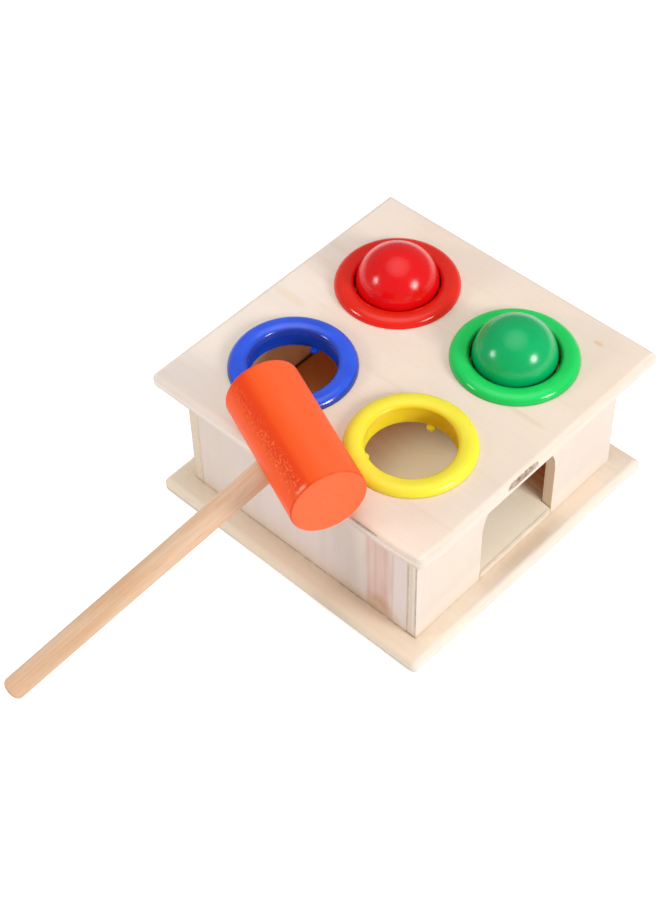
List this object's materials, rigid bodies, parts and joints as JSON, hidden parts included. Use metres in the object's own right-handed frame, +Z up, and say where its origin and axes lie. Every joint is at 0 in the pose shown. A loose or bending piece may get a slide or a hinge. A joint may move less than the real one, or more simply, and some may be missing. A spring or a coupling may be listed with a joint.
{
  "type": "ball pounding bench",
  "caption": "Low wooden box with ringed holes on top that hold balls, a ramp to an arched door, and a hammer leaning on it.",
  "frame": {"origin": "centre of the base board's underside", "axes": "+Z up from the base board's underside; -Y towards the wall with the arched door; -X towards the side that the hammer leans on"},
  "size_m": [0.2122, 0.118, 0.0859],
  "materials": {
    "base_board": "bare sanded plywood",
    "top_board": "bare sanded plywood",
    "front_wall": "bare sanded plywood",
    "back_wall": "bare sanded plywood",
    "left_wall": "bare sanded plywood",
    "right_wall": "bare sanded plywood",
    "ramp_board": "bare plywood",
    "red_ring": "gloss moulded",
    "green_ring": "gloss moulded",
    "blue_ring": "gloss moulded",
    "yellow_ring": "gloss moulded",
    "red_ball": "gloss painted",
    "green_ball": "gloss painted",
    "hammer_head": "satin painted",
    "hammer_handle": "bare dowel"
  },
  "bodies": {
    "bench": {"base_board": "base_board", "top_board": "top_board", "front_wall": "front_wall", "back_wall": "back_wall", "left_wall": "left_wall", "right_wall": "right_wall", "ramp_board": "ramp_board", "red_ring": "red_ring", "green_ring": "green_ring", "blue_ring": "blue_ring", "yellow_ring": "yellow_ring"},
    "red_ball_body": {"red_ball": "red_ball"},
    "green_ball_body": {"green_ball": "green_ball"},
    "hammer": {"hammer_head": "hammer_head", "hammer_handle": "hammer_handle"}
  },
  "joints": [
    {"name": "red_ball_drop", "type": "slide", "parent": "bench", "child": "red_ball_body", "axis": [0, 0, 1], "range_m": [-0.0217, 0.03], "deforming": ["red_ring"]},
    {"name": "green_ball_drop", "type": "slide", "parent": "bench", "child": "green_ball_body", "axis": [0, 0, 1], "range_m": [-0.0319, 0.03], "deforming": ["green_ring"]},
    {"name": "hammer_lift", "type": "slide", "parent": "bench", "child": "hammer", "axis": [0, 0, 1], "range_m": [0, 0.12]}
  ]
}
